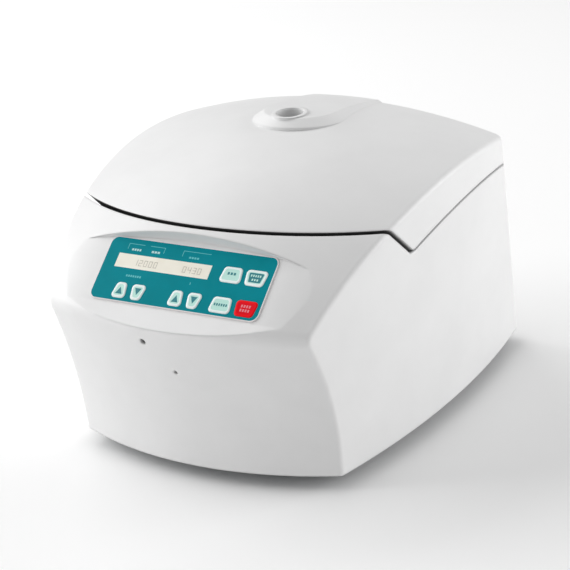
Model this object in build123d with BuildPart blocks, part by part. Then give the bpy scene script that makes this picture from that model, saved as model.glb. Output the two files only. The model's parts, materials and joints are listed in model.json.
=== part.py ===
from build123d import *
import os
from math import asin, atan, cos, degrees, radians, sin, sqrt, tan

os.makedirs("parts", exist_ok=True)

# Axes: x to the right, y to the back, z up. The origin is on the bench under the middle of the case.

# case, seen from the side
foot_height = 12.0
base_z = foot_height
base_front_y = -138.2
knee_front_y = -163.9
knee_z = 131.0
front_hollow = 5.5
hollow_lift = 4.0
front_axis_y = 127.5
rear_base_y = 162.3
rear_top_y = 127.5
rear_top_z = 188.6
# case, seen from above
side_widest_y = 46.6
side_half_width = 130.5
side_radius = 660.0
side_flare = 0.047
# hood over the middle line
roof_peak_y = 45.6
roof_peak_z = 216.0
roof_radius = 335.0
brow_y = -92.4
brow_radius = 215.0
# hood along its side edges
edge_peak_y = 50.6
edge_peak_z = 194.5
edge_roof_radius = 345.0
edge_front_y = -64.4
edge_front_radius = 215.0
crown_front_y = -143.4
hood_reach = 160.0
hood_stations = (-185, -160, -135, -115, -100, -85, -70, -50, -20, 30, 80, 130, 185)
# edges
knee_round = 12.0
edge_round = 4.0
rear_round = 9.0
# walls
case_wall = 3.0
lid_wall = 2.8
# joint between lid and case
seam_front_y = -25.0
seam_front_z = 152.1
seam_mid_y = 50.6
seam_mid_z = 165.1
seam_rear_y = 127.6
seam_rear_z = 163.1
seam_gap = 1.8
seam_tip_y = -94.2
seam_radius = 227.8
seam_radius_z = 179.0
seam_front_low_z = 100.0
seam_spread = 0.77
front_gap = 3.8
# how far cutting solids reach
clear_top = 250.0
clear_side = 220.0
clear_back = 400.0
clear_low = 30.0
clear_floor = 5.0
clear_wall = 1.0
clear_near = 60.0
# deck and bowl
spin_y = 39.5
deck_z = 150.0
bowl_radius = 86.8
bowl_wall = 1.2
bowl_floor_z = 92.0
bowl_flange_radius = 91.5
bowl_collar_radius = 16.0
bowl_collar_height = 6.0
bowl_corner = 7.0
gasket_thickness = 1.0
deck_opening_radius = 88.5
# rotor
rotor_radius = 84.0
rotor_base_z = 108.0
rotor_web = 8.0
rotor_rim_width = 4.0
rotor_rim_height = 8.0
rotor_hub_radius = 18.0
rotor_hub_drop = 8.0
rotor_hub_rise = 4.0
tube_places = 24
tube_slot_width = 3.0
tube_slot_depth = 3.0
tube_slot_start = 32.0
tube_slot_end = 77.0
rim_pad_width = 2.0
rim_pad_height = 6.0
cover_thickness = 1.5
cover_radius = 83.0
cover_lift_gap = 0.3
knob_radius = 13.0
knob_height = 17.0
knob_grip_count = 12
knob_grip = 2.4
knob_grip_out = 1.0
knob_collar = 3.0
knob_cap_gap = 0.5
knob_cap_reach = 1.0
shaft_radius = 4.0
stud_radius = 3.0
stud_top_z = 142.0
running_gap = 0.05
body_gap = 0.3
# motor
motor_radius = 38.0
motor_wall = 3.0
motor_bottom_z = 24.0
motor_top_z = 86.0
motor_cap = 5.0
motor_flange_radius = 57.0
motor_flange = 4.0
bracket_z = 40.0
bracket_thickness = 3.0
bracket_radius = 62.0
motor_mount_radius = 8.0
motor_mount_circle = 49.0
motor_screw_radius = 2.0
motor_screw_head_radius = 4.0
motor_screw_head = 3.0
motor_screw_hold = 10.0
motor_mount_bore = 12.0
stator_inner = 24.0
stator_low = 34.0
stator_high = 72.0
armature_radius = 20.0
armature_set_in = 2.0
shaft_tail = 4.0
# base
base_thickness = 2.0
base_clearance = 0.4
base_slot_pitch = 9.0
base_slot_count = 7
base_slot_length = 60.0
base_slot_width = 3.0
foot_radius = 12.0
foot_front_x = 86.0
foot_front_y = -86.0
foot_rear_x = 98.0
foot_rear_y = 126.0
foot_taper = 5.0
foot_recess = 5.0
foot_recess_gap = 0.4
foot_screw_radius = 2.0
foot_screw_head_radius = 3.8
foot_screw_head = 2.5
foot_screw_length = 12.0
boss_radius = 6.0
boss_height = 16.0
boss_set_in = 7.0
boss_bore_end = 2.0
base_screw_length = 12.0
boss_rows = (-70.0, 26.0, 122.0)
screw_radius = 1.5
screw_head_radius = 3.0
screw_head = 1.6
# keypad
pocket_tilt = 38.65
pocket_y = -123.3
pocket_z = 154.0
keypad_width = 141.0
keypad_height = 51.0
keypad_corner = 6.0
keypad_thickness = 1.0
pocket_head = 1.0
pocket_side_radius = 150.0
pocket_side_reach = 125.0
ledge_slope = 6.0
ledge_bow = 2.0
ledge_radius = 550.0
lip_slope = 20.0
window_frame = 1.6
window_depth = 8.0
window_seat = 0.5
display_u = -20.0
display_v = 6.9
display_width = 79.4
display_height = 11.2
key_height = 12.0
key_stand = 0.5
key_depth = 4.0
key_travel = 0.4
key_gap = 0.35
key_flange = 0.8
key_switch = 6.0
key_row_low = -16.6
key_row_high = 7.4
arrow_narrow = 7.6
arrow_wide = 12.0
word_narrow = 14.2
word_wide = 17.6
board_depth = 9.0
board_thickness = 1.6
board_margin = 4.5
module_lift = 1.0
module_side = 3.0
module_edge = 2.5
board_height = 38.0
board_post_set_in = 0.5
board_post_v = 14.0
board_post_radius = 3.0
# lid
platform_rises = ((-20.0, 8.4), (30.0, 6.4), (80.0, 3.2), (130.0, 1.4), (185.0, 0.6))
platform_skirt = 8.5
platform_drop = 5.0
platform_front_y = 57.0
platform_half_width = 37.5
port_radius = 10.4
port_ring_radius = 13.8
port_ring_top_z = 222.6
port_sleeve_radius = 9.4
port_sleeve_wall = 1.8
sleeve_head_gap = 0.8
window_thickness = 2.0
liner_z = 155.0
liner_thickness = 2.0
liner_gap = 1.6
liner_rim_z = 171.0
liner_front_gap = 1.0
liner_screw_length = 10.0
liner_screw_bore = 12.0
lid_boss_radius = 4.5
port_ring_foot = 8.0
seal_inner = 87.5
seal_outer = 90.5
liner_screw_spots = ((70.0, -26.0), (84.0, 100.0))
# hinges
hinge_y = 138.0
hinge_z = 163.5
hinge_spread = 78.0
hinge_knuckle = 4.4
hinge_pin_radius = 2.0
hinge_width = 30.0
lug_width = 14.0
hinge_plate = 2.5
hinge_foot_z = 144.0
bracket_plate_z = 149.0
bracket_plate_height = 14.0
lug_top_z = 184.0
lug_plate_z = 177.0
lug_plate_height = 13.0
bracket_screw_step = 3.6
lug_screw_step = 11.0
ear_slope = 4.0
plate_corner = 3.0
# lid lock
hook_y = -62.0
hook_thickness = 2.0
hook_width = 20.0
hook_bottom_z = 126.0
hook_window_z = 133.0
hook_window = 8.0
hook_window_spare = 3.0
slot_front_y = -68.0
slot_rear_y = -57.0
slot_width = 26.0
bolt_height = 5.0
bolt_width = 9.0
lock_front_y = -96.0
lock_rear_y = -67.5
lock_half_width = 24.0
lock_bottom_z = 108.0
hook_foot = 7.0
bolt_length = 18.0
lock_wall = 2.0
lock_motor_radius = 9.0
lock_motor_length = 28.0
lock_motor_drop = 6.0
lock_corner = 3.0
release_x = -16.5
release_z = 117.0
release_bore = 2.4
spindle_radius = 4.5
spindle_socket = 2.2
spindle_socket_depth = 8.0
spindle_front_y = -150.0
spindle_inside = 4.0
small_hole_x = 3.0
small_hole_z = 92.5
small_hole_radius = 1.5
front_bore_from = -120.0
front_bore = 60.0
# rear panel
panel_z = 62.0
inlet_x = -62.0
inlet_width = 28.0
inlet_height = 20.5
inlet_depth = 24.0
inlet_flange = 3.0
fuse_x = -27.0
fuse_width = 16.0
fuse_height = 22.0
fuse_depth = 26.0
fit_gap = 0.2
flange_corner = 2.0
shell_wall = 1.5
end_wall = 3.0
switch_x = 10.0
switch_width = 19.0
switch_height = 13.0
switch_depth = 16.0
panel_flange = 2.0
socket_width = 24.0
socket_height = 16.5
socket_depth = 17.0
pin_length = 11.0
pin_width = 2.0
pin_height = 5.0
pin_spots = ((-7, -2), (7, -2), (0, 2))
drawer_front = 1.6
drawer_floor = 2.0
drawer_length = 20.0
rocker_rest = 8.0
rocker_room = 0.8
rocker_rise = 3.2
rocker_dip = 1.6
rocker_drop = 4.0
rocker_shoulder = 1.0
rocker_sink = 1.5
pivot_radius = 1.0
pivot_reach = 0.8
power_board_x = -52.0
power_board_y = 128.0
power_board_width = 84.0
power_board_deep = 36.0
power_board_z = 22.0
power_post_radius = 3.0
power_post_set_in = (10.0, 8.0)
coil_x = -24.0
coil_size = (28.0, 24.0)
can_radius = 8.0
can_spots = (8.0, 30.0)
power_part_height = 22.0
vent_count = 9
vent_width = 4.0
vent_height = 30.0
vent_pitch = 8.0
vent_x = 72.0
plate_x = -46.0
plate_z = 104.0
plate_width = 64.0
plate_height = 26.0
plate_thickness = 0.5


def arc_drop(radius, run):
    return radius - sqrt(radius**2 - run**2)


def half_width(y, z):
    return side_half_width - arc_drop(side_radius, y - side_widest_y) + side_flare * (z - base_z)


def line_height(y, peak_y, peak_z, roof, front_y, front):
    """height of a line made of a roof arc and a tighter arc in front of it, and its slope"""
    turn = (peak_y - max(y, front_y)) / roof
    high = peak_z - arc_drop(roof, peak_y - max(y, front_y))
    steeper = turn + (front_y - min(y, front_y)) / front
    return high - front * (cos(asin(turn)) - cos(asin(steeper))), asin(steeper)


def middle(y):
    return line_height(y, roof_peak_y, roof_peak_z, roof_radius, brow_y, brow_radius)


def edge(y):
    return line_height(y, edge_peak_y, edge_peak_z, edge_roof_radius, edge_front_y, edge_front_radius)


def crown_radius(y):
    at = max(y, crown_front_y)
    sag = middle(at)[0] - edge(at)[0]
    return (half_width(at, edge(at)[0]) ** 2 + sag**2) / 2 / sag


def crowned(rises):
    """everything under a crowned surface that stands over the hood by a given rise at each station"""
    with BuildPart() as solid:
        for y, rise in rises:
            high = middle(y)[0] + rise / cos(middle(y)[1])
            side = high - arc_drop(crown_radius(y) + rise, hood_reach)
            with BuildSketch(Plane.XZ.offset(-y)):
                with BuildLine():
                    ThreePointArc((-hood_reach, side), (0, high), (hood_reach, side))
                    Polyline(
                        (hood_reach, side),
                        (hood_reach, -base_z),
                        (-hood_reach, -base_z),
                        (-hood_reach, side),
                    )
                make_face()
        loft()
    return solid.part


def hood(inset):
    return crowned([(y, -inset) for y in hood_stations])


def turned_about(axis_y, low, high, outline):
    """everything behind a turned front surface: a full turn of the outline and a block behind its axis"""
    with BuildPart() as solid:
        with BuildSketch(Plane.YZ):
            with BuildLine():
                outline()
            make_face()
        revolve(axis=Axis((0, axis_y, 0), (0, 0, 1)), revolution_arc=360)
        with BuildSketch(Plane.XY.offset(low)):
            with Locations((0, axis_y + clear_back / 2)):
                Rectangle(2 * clear_side, clear_back)
        extrude(amount=high - low)
    return solid.part


def front_wall(inset):
    low, high = base_z - clear_low, clear_top

    def outline():
        hollow = (
            (base_front_y + knee_front_y) / 2 + front_hollow + inset,
            (base_z + knee_z) / 2 + hollow_lift,
        )
        bow = ThreePointArc((base_front_y + inset, base_z), hollow, (knee_front_y + inset, knee_z))
        start, end = bow % 0, bow % 1
        foot = (base_front_y + inset - clear_low * start.X / start.Y, low)
        head = (knee_front_y + inset + (high - knee_z) * end.X / end.Y, high)
        Polyline(
            (knee_front_y + inset, knee_z),
            head,
            (front_axis_y, high),
            (front_axis_y, low),
            foot,
            (base_front_y + inset, base_z),
        )

    return turned_about(front_axis_y, low, high, outline)


def side_walls(inset):
    low, height = base_z - clear_low, clear_top
    reach = side_half_width - side_flare * clear_low - inset
    radius = side_radius - inset
    front, mid, rear = -250.0, 40.0, 180.0
    with BuildPart() as right:
        with BuildSketch(Plane.XY.offset(low)):
            with BuildLine():
                bow = ThreePointArc(
                    (reach - arc_drop(radius, front), side_widest_y + front),
                    (reach - arc_drop(radius, mid), side_widest_y + mid),
                    (reach - arc_drop(radius, rear), side_widest_y + rear),
                )
                Polyline(
                    bow @ 1,
                    (-clear_back, side_widest_y + rear),
                    (-clear_back, side_widest_y + front),
                    bow @ 0,
                )
            make_face()
        extrude(amount=height * sqrt(1 + side_flare**2), dir=(side_flare, 0, 1))
    with BuildPart() as both:
        add(right.part)
        mirror(right.part, about=Plane.YZ, mode=Mode.INTERSECT)
    return both.part


rear_lean = (rear_top_y - rear_base_y) / (rear_top_z - base_z)
rear_tilt = degrees(atan(-rear_lean))


def rear_y(z):
    return rear_base_y + rear_lean * (z - base_z)


pocket_plane = Plane(
    origin=(0, pocket_y, pocket_z),
    x_dir=(1, 0, 0),
    z_dir=(0, -sin(radians(pocket_tilt)), cos(radians(pocket_tilt))),
)


def pocket_at(depth):
    return pocket_plane.offset(-depth)


def over_surface(v, depth, slope):
    """everything over a sloping surface through a point of the pocket, which falls away at its sides"""
    lean = radians(slope)
    foot = pocket_plane.from_local_coords((0, v, -depth))
    side = keypad_width / 2 + pocket_head
    turn = asin((pocket_side_reach - side) / pocket_side_radius)
    half = asin((pocket_side_reach - side) / pocket_side_radius / 2)
    with BuildPart() as solid:
        with BuildSketch(Plane(origin=foot, x_dir=(1, 0, 0), z_dir=(0, -cos(lean), -sin(lean)))):
            with BuildLine():
                low = (side + pocket_side_radius * sin(turn), pocket_side_radius * (cos(turn) - 1))
                mid = (side + pocket_side_radius * sin(half), pocket_side_radius * (cos(half) - 1))
                ThreePointArc((side, 0), mid, low)
                ThreePointArc((-side, 0), (-mid[0], mid[1]), (-low[0], low[1]))
                Line((-side, 0), (side, 0))
                Polyline(low, (low[0], 2 * clear_near), (-low[0], 2 * clear_near), (-low[0], low[1]))
            make_face()
        extrude(amount=2 * clear_near, both=True)
    return solid.part


def pocket(depth):
    """the hollow of the keypad: a bowed ledge behind it, the flat floor and a gentle lip in front"""
    lean = radians(ledge_slope - pocket_tilt)
    head = pocket_head + keypad_height / 2 + depth + ledge_bow
    ends = head - arc_drop(ledge_radius, pocket_side_reach)
    with BuildPart() as solid:
        add(over_surface(0, depth, pocket_tilt))
        add(over_surface(-keypad_height / 2 - pocket_head, depth, lip_slope), mode=Mode.INTERSECT)
        with BuildSketch(pocket_at(depth)):
            with BuildLine():
                bow = ThreePointArc((-pocket_side_reach, ends), (0, head), (pocket_side_reach, ends))
                Polyline(
                    bow @ 1,
                    (pocket_side_reach, -2 * clear_near),
                    (-pocket_side_reach, -2 * clear_near),
                    bow @ 0,
                )
            make_face()
        extrude(amount=clear_near, dir=(0, sin(lean), cos(lean)), both=True, mode=Mode.INTERSECT)
    return solid.part


def envelope(inset):
    """the whole outer form drawn in by an inset, open below where it is drawn in"""
    floor_z = base_z if inset == 0 else base_z - clear_floor
    back = inset * sqrt(1 + rear_lean**2)
    with BuildPart() as solid:
        add(hood(inset))
        add(front_wall(inset), mode=Mode.INTERSECT)
        add(side_walls(inset), mode=Mode.INTERSECT)
        with BuildSketch(Plane.YZ.offset(-clear_side)):
            with BuildLine():
                Polyline(
                    (-clear_side, floor_z),
                    (rear_y(floor_z) - back, floor_z),
                    (rear_y(clear_top) - back, clear_top),
                    (-clear_side, clear_top),
                    close=True,
                )
            make_face()
        extrude(amount=2 * clear_side, mode=Mode.INTERSECT)
        knee_edges = solid.edges().filter_by(
            lambda k: k.center().Y < -140 and abs(k.center().Z - knee_z) < 12
        )
        fillet(knee_edges, radius=knee_round - inset)
        rear_edges = solid.edges().filter_by(
            lambda k: abs(k.center().X) > 100 and k.center().Y > 135 and k.center().Z > floor_z + 20
        )
        fillet(rear_edges, radius=rear_round - inset)
        if inset == 0:
            long_edges = solid.edges().filter_by(
                lambda k: abs(k.center().X) > 100 and k.center().Z > 60 and k.length > 60
            )
            fillet(long_edges, radius=edge_round)
        add(pocket(keypad_thickness + inset), mode=Mode.SUBTRACT)
    return solid.part


outer_form = envelope(0)
case_inside = envelope(case_wall)


def seam_side(lift):
    """everything above the curved joint between case and lid"""
    with BuildPart() as solid:
        with BuildSketch(Plane.YZ.offset(-clear_side)):
            with BuildLine():
                bow = ThreePointArc(
                    (seam_front_y, seam_front_z + lift),
                    (seam_mid_y, seam_mid_z + lift),
                    (seam_rear_y, seam_rear_z + lift),
                )
                Polyline(
                    bow @ 1,
                    (seam_rear_y + clear_near, seam_rear_z + lift),
                    (seam_rear_y + clear_near, clear_top),
                    (-clear_side, clear_top),
                    (-clear_side, seam_front_z + lift),
                    bow @ 0,
                )
            make_face()
        extrude(amount=2 * clear_side)
    return solid.part


seam_axis_y = seam_tip_y + seam_radius


def seam_front(grow):
    """everything behind the turned front joint of the lid"""
    low, high = seam_front_low_z, clear_top

    def outline():
        foot = seam_axis_y - seam_radius - grow + seam_spread * (seam_radius_z - low)
        head = seam_axis_y - seam_radius - grow + seam_spread * (seam_radius_z - high)
        Polyline((foot, low), (head, high), (seam_axis_y, high), (seam_axis_y, low), close=True)

    return turned_about(seam_axis_y, low, high, outline)


def block(low, high):
    with BuildPart() as solid:
        with BuildSketch(Plane.XY.offset(low)):
            Rectangle(2 * clear_side, 2 * clear_side)
        extrude(amount=high - low)
    return solid.part


def cylinder(x, y, low, high, radius):
    with BuildPart() as solid:
        with BuildSketch(Plane.XY.offset(low)):
            with Locations((x, y)):
                Circle(radius)
        extrude(amount=high - low)
    return solid.part


rear_normal = (0, cos(radians(rear_tilt)), sin(radians(rear_tilt)))


def rear_plane(x, z, lift):
    """a plane on the sloping back wall, seen from behind, its z axis out of the wall"""
    flat = Plane(origin=(x, rear_y(z), z), x_dir=(-1, 0, 0), z_dir=rear_normal)
    return flat.offset(lift)


foot_spots = [
    (-foot_front_x, foot_front_y),
    (foot_front_x, foot_front_y),
    (-foot_rear_x, foot_rear_y),
    (foot_rear_x, foot_rear_y),
]


def hinge_spots(step):
    return [(side * hinge_spread + way * step, 0) for side in (-1, 1) for way in (-1, 1)]


board_width = keypad_width + 2 * board_margin
board_post_u = keypad_width / 2 - board_post_set_in
window_plan = (keypad_width - 2 * window_frame, keypad_height - 2 * window_frame)
boss_spots = []
for row in boss_rows:
    reach = half_width(row, base_z) - boss_set_in
    boss_spots += [(reach, row), (-reach, row)]

seam_lid = seam_front(0)
seam_case = seam_front(front_gap)

# keys of the panel: name, middle across, middle up, width at the lower edge, width at the upper edge
keys = (
    ("key_time_up", -46.6, key_row_low, arrow_wide, arrow_narrow),
    ("key_time_down", -31.7, key_row_low, arrow_narrow, arrow_wide),
    ("key_speed_up", 1.1, key_row_low, arrow_wide, arrow_narrow),
    ("key_speed_down", 15.7, key_row_low, arrow_narrow, arrow_wide),
    ("key_select", 38.4, key_row_low, word_wide, word_narrow),
    ("key_stop", 58.6, key_row_low, word_narrow, word_wide),
    ("key_force", 37.7, key_row_high, word_wide, word_narrow),
    ("key_start", 57.4, key_row_high, word_narrow, word_wide),
)


def key_outline(u, v, low, high, grow):
    half = key_height / 2 + grow
    Polygon(
        (u - low / 2 - grow, v - half),
        (u + low / 2 + grow, v - half),
        (u + high / 2 + grow, v + half),
        (u - high / 2 - grow, v + half),
        align=None,
    )


def platform():
    """the raised tongue round the port: it follows the roof, with a shallow skirt along its edge"""
    with BuildPart() as solid:
        with BuildSketch(Plane.XY.offset(roof_peak_z - clear_low)):
            with BuildLine():
                bow = ThreePointArc(
                    (-platform_half_width, platform_front_y),
                    (0, platform_front_y - platform_half_width),
                    (platform_half_width, platform_front_y),
                )
                Polyline(
                    bow @ 1,
                    (platform_half_width, rear_base_y),
                    (-platform_half_width, rear_base_y),
                    bow @ 0,
                )
            make_face()
        extrude(amount=2 * clear_low)
        add(crowned(platform_rises), mode=Mode.INTERSECT)
        top = solid.faces().sort_by(Axis.Z)[-1]
        rim = top.edges().filter_by(lambda k: k.center().Y < rear_top_y + clear_floor)
        chamfer(rim, length=platform_skirt, length2=platform_drop, reference=top)
        with BuildSketch(Plane.YZ.offset(-clear_side)):
            with BuildLine():
                Polyline(
                    (-clear_side, base_z),
                    (rear_y(base_z), base_z),
                    (rear_y(clear_top), clear_top),
                    (-clear_side, clear_top),
                    close=True,
                )
            make_face()
        extrude(amount=2 * clear_side, mode=Mode.INTERSECT)
    return solid.part


# case: one moulding with the front, sides, back, deck, keypad pocket and bosses
with BuildPart() as case:
    add(outer_form)
    with BuildPart(mode=Mode.PRIVATE) as lid_room:
        add(seam_side(0))
        add(seam_case, mode=Mode.INTERSECT)
    add(lid_room.part, mode=Mode.SUBTRACT)
    with BuildPart(mode=Mode.PRIVATE) as deck_room:
        add(case_inside)
        add(seam_case, mode=Mode.INTERSECT)
        add(block(deck_z, clear_top), mode=Mode.INTERSECT)
    add(deck_room.part, mode=Mode.SUBTRACT)
    with BuildPart(mode=Mode.PRIVATE) as hollow:
        add(case_inside)
        with BuildPart(mode=Mode.PRIVATE) as over_deck:
            add(seam_front(front_gap + case_wall))
            add(block(deck_z - case_wall, clear_top + clear_wall), mode=Mode.INTERSECT)
        add(over_deck.part, mode=Mode.SUBTRACT)
    add(hollow.part, mode=Mode.SUBTRACT)
    # columns for the screws of the base
    with BuildSketch(Plane.XY.offset(base_z + base_thickness)):
        with Locations(*boss_spots):
            Circle(boss_radius)
    extrude(amount=boss_height)
    with BuildSketch(Plane.XY.offset(base_z)):
        with Locations(*boss_spots):
            Circle(screw_radius + running_gap)
    extrude(amount=boss_height - boss_bore_end, mode=Mode.SUBTRACT)
    # posts for the control board
    with BuildSketch(pocket_at(board_depth)):
        with Locations((board_post_u, board_post_v), (-board_post_u, board_post_v)):
            Circle(board_post_radius)
        with Locations((board_post_u, -board_post_v), (-board_post_u, -board_post_v)):
            Circle(board_post_radius)
    extrude(amount=board_depth - keypad_thickness - case_wall / 2)
    # window behind the keypad
    with BuildSketch(pocket_at(keypad_thickness - window_seat)):
        Rectangle(*window_plan)
    extrude(amount=-window_depth, mode=Mode.SUBTRACT)
    # bowl opening and hook slot in the deck
    with BuildSketch(Plane.XY.offset(deck_z - case_wall - clear_wall)):
        with Locations((0, spin_y)):
            Circle(deck_opening_radius)
        with Locations((0, (slot_front_y + slot_rear_y) / 2)):
            Rectangle(slot_width, slot_rear_y - slot_front_y)
    extrude(amount=case_wall + 2 * clear_wall, mode=Mode.SUBTRACT)
    # release bore and the small hole below it
    with BuildSketch(Plane.XZ.offset(-front_bore_from)):
        with Locations((release_x, release_z)):
            Circle(release_bore)
        with Locations((small_hole_x, small_hole_z)):
            Circle(small_hole_radius)
    extrude(amount=front_bore, mode=Mode.SUBTRACT)
    # openings in the back
    with BuildSketch(rear_plane(0, panel_z, clear_floor)):
        with Locations((-inlet_x, 0)):
            Rectangle(inlet_width + 2 * fit_gap, inlet_height + 2 * fit_gap)
        with Locations((-fuse_x, 0)):
            Rectangle(fuse_width + 2 * fit_gap, fuse_height + 2 * fit_gap)
        with Locations((-switch_x, 0)):
            Rectangle(switch_width + 2 * fit_gap, switch_height + 2 * fit_gap)
        with Locations((-vent_x, 0)):
            with GridLocations(vent_pitch, 0, vent_count, 1):
                SlotOverall(vent_height, vent_width, rotation=90)
    extrude(amount=-clear_low, mode=Mode.SUBTRACT)
case.part.label = "case"

# lid: the hood above the joint, with the raised platform and the ring of the viewing port
with BuildPart() as lid_shell:
    add(outer_form)
    add(seam_side(seam_gap), mode=Mode.INTERSECT)
    add(seam_lid, mode=Mode.INTERSECT)
    add(platform())
    add(cylinder(0, spin_y, roof_peak_z - port_ring_foot, port_ring_top_z, port_ring_radius))
    with BuildPart(mode=Mode.PRIVATE) as lid_hollow:
        add(envelope(lid_wall))
        add(seam_front(-lid_wall / cos(atan(seam_spread))), mode=Mode.INTERSECT)
    add(lid_hollow.part, mode=Mode.SUBTRACT)
    # columns for the screws of the lining
    with BuildPart(mode=Mode.PRIVATE) as columns:
        with BuildSketch(Plane.XY.offset(liner_z + liner_thickness)):
            for x, y in liner_screw_spots:
                with Locations((x, y), (-x, y)):
                    Circle(lid_boss_radius)
        extrude(amount=clear_near)
        add(outer_form, mode=Mode.INTERSECT)
    add(columns.part)
    with BuildSketch(Plane.XY.offset(liner_z)):
        for x, y in liner_screw_spots:
            with Locations((x, y), (-x, y)):
                Circle(screw_radius + running_gap)
    extrude(amount=liner_screw_bore, mode=Mode.SUBTRACT)
    add(cylinder(0, spin_y, roof_peak_z - clear_low, clear_top, port_radius), mode=Mode.SUBTRACT)
lid_shell.part.label = "lid_shell"

# base plate, its screws and the feet
with BuildPart() as base_plate:
    add(envelope(case_wall + base_clearance))
    add(block(base_z, base_z + base_thickness), mode=Mode.INTERSECT)
    with BuildSketch(Plane.XY.offset(base_z)):
        with Locations(*boss_spots):
            Circle(screw_radius + running_gap)
        with Locations(*foot_spots):
            Circle(foot_screw_radius + running_gap)
        with Locations((0, spin_y)):
            with GridLocations(0, base_slot_pitch, 1, base_slot_count):
                SlotOverall(base_slot_length, base_slot_width)
    extrude(amount=base_thickness, mode=Mode.SUBTRACT)
base_plate.part.label = "base_plate"


def screws(spots, radius, head_radius, head, shank, plane):
    """pan-head screws standing on a plane: the heads above it and the shanks below it"""
    with BuildPart() as solid:
        with BuildSketch(plane):
            with Locations(*spots):
                Circle(head_radius)
        extrude(amount=head)
        with BuildSketch(plane):
            with Locations(*spots):
                Circle(radius)
        extrude(amount=-shank)
    return solid.part


down = Plane(origin=(0, 0, base_z), x_dir=(1, 0, 0), z_dir=(0, 0, -1))
with BuildPart() as base_screws:
    flipped = [(x, -y) for x, y in boss_spots]
    add(screws(flipped, screw_radius, screw_head_radius, screw_head, base_screw_length, down))
base_screws.part.label = "base_screws"

with BuildPart() as feet:
    with BuildSketch(Plane.XY.offset(foot_height)):
        with Locations(*foot_spots):
            Circle(foot_radius)
    extrude(amount=-foot_height, taper=foot_taper)
    with BuildSketch(Plane.XY):
        with Locations(*foot_spots):
            Circle(foot_screw_head_radius + foot_recess_gap)
    extrude(amount=foot_recess, mode=Mode.SUBTRACT)
    with BuildSketch(Plane.XY):
        with Locations(*foot_spots):
            Circle(foot_screw_radius + running_gap)
    extrude(amount=foot_height, mode=Mode.SUBTRACT)
feet.part.label = "feet"

foot_seat = Plane(origin=(0, 0, foot_recess), x_dir=(1, 0, 0), z_dir=(0, 0, -1))
with BuildPart() as foot_screws:
    flipped = [(x, -y) for x, y in foot_spots]
    size = (foot_screw_radius, foot_screw_head_radius, foot_screw_head, foot_screw_length)
    add(screws(flipped, *size, foot_seat))
foot_screws.part.label = "foot_screws"


def ring(outer, inner, low, high):
    with BuildPart() as solid:
        with BuildSketch(Plane.XY.offset(low)):
            with Locations((0, spin_y)):
                Circle(outer)
                Circle(inner, mode=Mode.SUBTRACT)
        extrude(amount=high - low)
    return solid.part


def around_spin(radius):
    """the three places of the motor's mounts"""
    return [
        (radius * cos(radians(a)), spin_y + radius * sin(radians(a))) for a in (90, 210, 330)
    ]


# motor on its ring plate and rubber mounts
with BuildPart() as motor_bracket:
    add(ring(bracket_radius, motor_radius + body_gap, bracket_z, bracket_z + bracket_thickness))
    with BuildSketch(Plane.XY.offset(bracket_z)):
        with Locations(*around_spin(motor_mount_circle)):
            Circle(motor_screw_radius + running_gap)
    extrude(amount=bracket_thickness, mode=Mode.SUBTRACT)
motor_bracket.part.label = "motor_bracket"

mount_low = base_z + base_thickness
with BuildPart() as motor_mounts:
    with BuildSketch(Plane.XY.offset(mount_low)):
        with Locations(*around_spin(motor_mount_circle)):
            Circle(motor_mount_radius)
    extrude(amount=bracket_z - mount_low)
    with BuildSketch(Plane.XY.offset(bracket_z - motor_mount_bore)):
        with Locations(*around_spin(motor_mount_circle)):
            Circle(motor_screw_radius + running_gap)
    extrude(amount=motor_mount_bore, mode=Mode.SUBTRACT)
motor_mounts.part.label = "motor_mounts"

flange_top = bracket_z + bracket_thickness + motor_flange
with BuildPart() as motor_case:
    add(ring(motor_radius, shaft_radius + running_gap, motor_bottom_z, motor_top_z))
    add(
        ring(
            motor_radius - motor_wall,
            shaft_radius + running_gap,
            motor_bottom_z + motor_cap,
            motor_top_z - motor_cap,
        ),
        mode=Mode.SUBTRACT,
    )
    add(ring(motor_flange_radius, motor_radius - motor_wall / 2, bracket_z + bracket_thickness, flange_top))
    with BuildSketch(Plane.XY.offset(bracket_z)):
        with Locations(*around_spin(motor_mount_circle)):
            Circle(motor_screw_radius + running_gap)
    extrude(amount=flange_top, mode=Mode.SUBTRACT)
motor_case.part.label = "motor_case"

with BuildPart() as motor_screws:
    spots = around_spin(motor_mount_circle)
    size = (motor_screw_radius, motor_screw_head_radius, motor_screw_head)
    shank = flange_top - bracket_z + motor_screw_hold
    add(screws(spots, *size, shank, Plane.XY.offset(flange_top)))
motor_screws.part.label = "motor_screws"

with BuildPart() as motor_stator:
    add(ring(motor_radius - motor_wall, stator_inner, stator_low, stator_high))
motor_stator.part.label = "motor_stator"

with BuildPart() as armature:
    add(ring(armature_radius, shaft_radius, stator_low + armature_set_in, stator_high - armature_set_in))
armature.part.label = "armature"

shaft_top = rotor_base_z + rotor_web + rotor_hub_rise
with BuildPart() as motor_shaft:
    add(cylinder(0, spin_y, motor_bottom_z - shaft_tail, shaft_top, shaft_radius))
    add(cylinder(0, spin_y, shaft_top, stud_top_z, stud_radius))
motor_shaft.part.label = "motor_shaft"

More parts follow.
